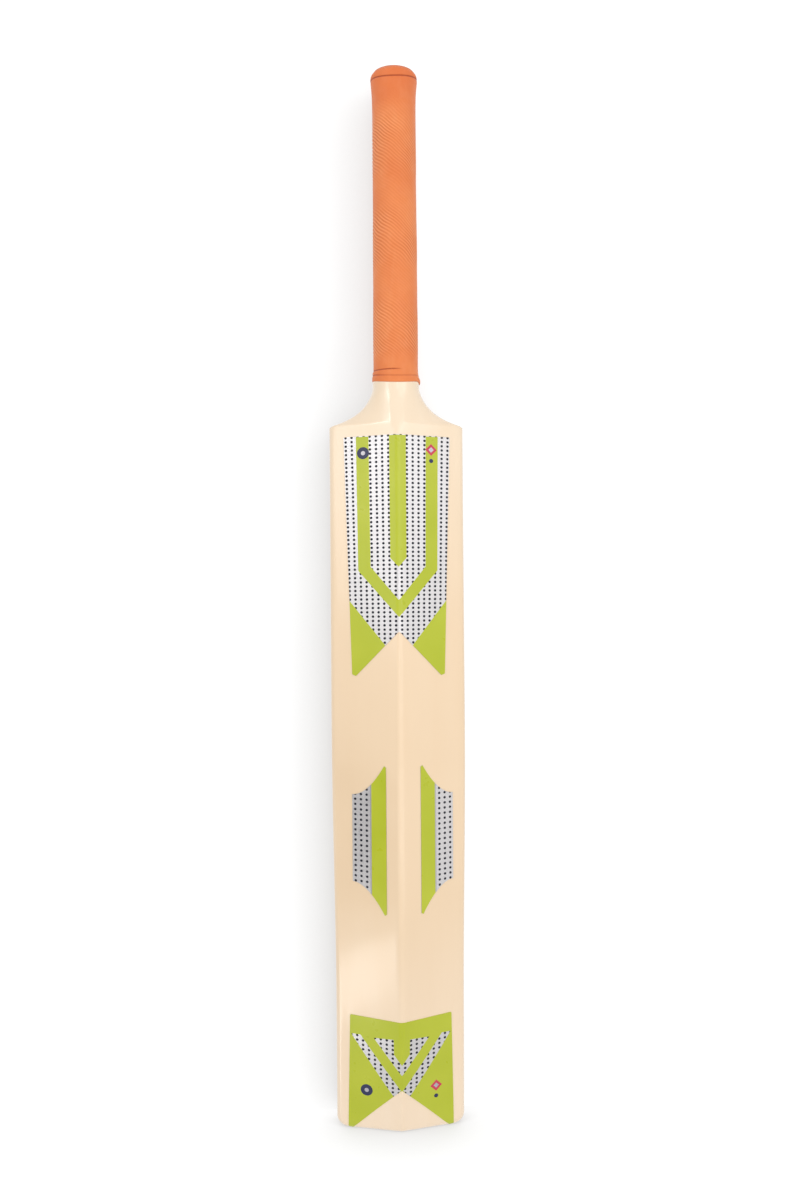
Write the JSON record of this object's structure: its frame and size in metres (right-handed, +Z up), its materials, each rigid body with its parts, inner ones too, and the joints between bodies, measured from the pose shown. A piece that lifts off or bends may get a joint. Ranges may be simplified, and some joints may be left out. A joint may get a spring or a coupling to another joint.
{
  "type": "cricket bat",
  "caption": "Full-size cricket bat: flat-faced blade with a ridged back, V-spliced cane handle, ribbed rubber grip and foil labels with green and silver chevrons.",
  "frame": {"origin": "middle of the bat's width and depth, level with the lowest point of the toe", "axes": "+Z up the handle, +Y out of the hitting face, +X to the right when the ridged back is looked at"},
  "size_m": [0.108, 0.0586, 0.851],
  "materials": {
    "lacquered_blade": "opaque cream lacquer, glossy",
    "cane": "sanded bare cane, matte",
    "rubber_insert": "matte black rubber sheet",
    "twine": "glued linen twine",
    "grip_rubber": "matte orange rubber with fine moulded ribs",
    "label_foil": "printed glossy foil, green and dotted silver"
  },
  "bodies": {
    "root": {"blade": "lacquered_blade", "cane_1_1": "cane", "cane_1_2": "cane", "cane_1_3": "cane", "cane_2_1": "cane", "cane_2_2": "cane", "cane_2_3": "cane", "cane_3_1": "cane", "cane_3_2": "cane", "cane_3_3": "cane", "cane_4_1": "cane", "cane_4_2": "cane", "cane_4_3": "cane", "rubber_strip_1": "rubber_insert", "rubber_strip_2": "rubber_insert", "rubber_strip_3": "rubber_insert", "twine_binding": "twine", "grip": "grip_rubber", "upper_label": "label_foil", "left_label": "label_foil", "right_label": "label_foil", "toe_label": "label_foil"}
  },
  "joints": []
}
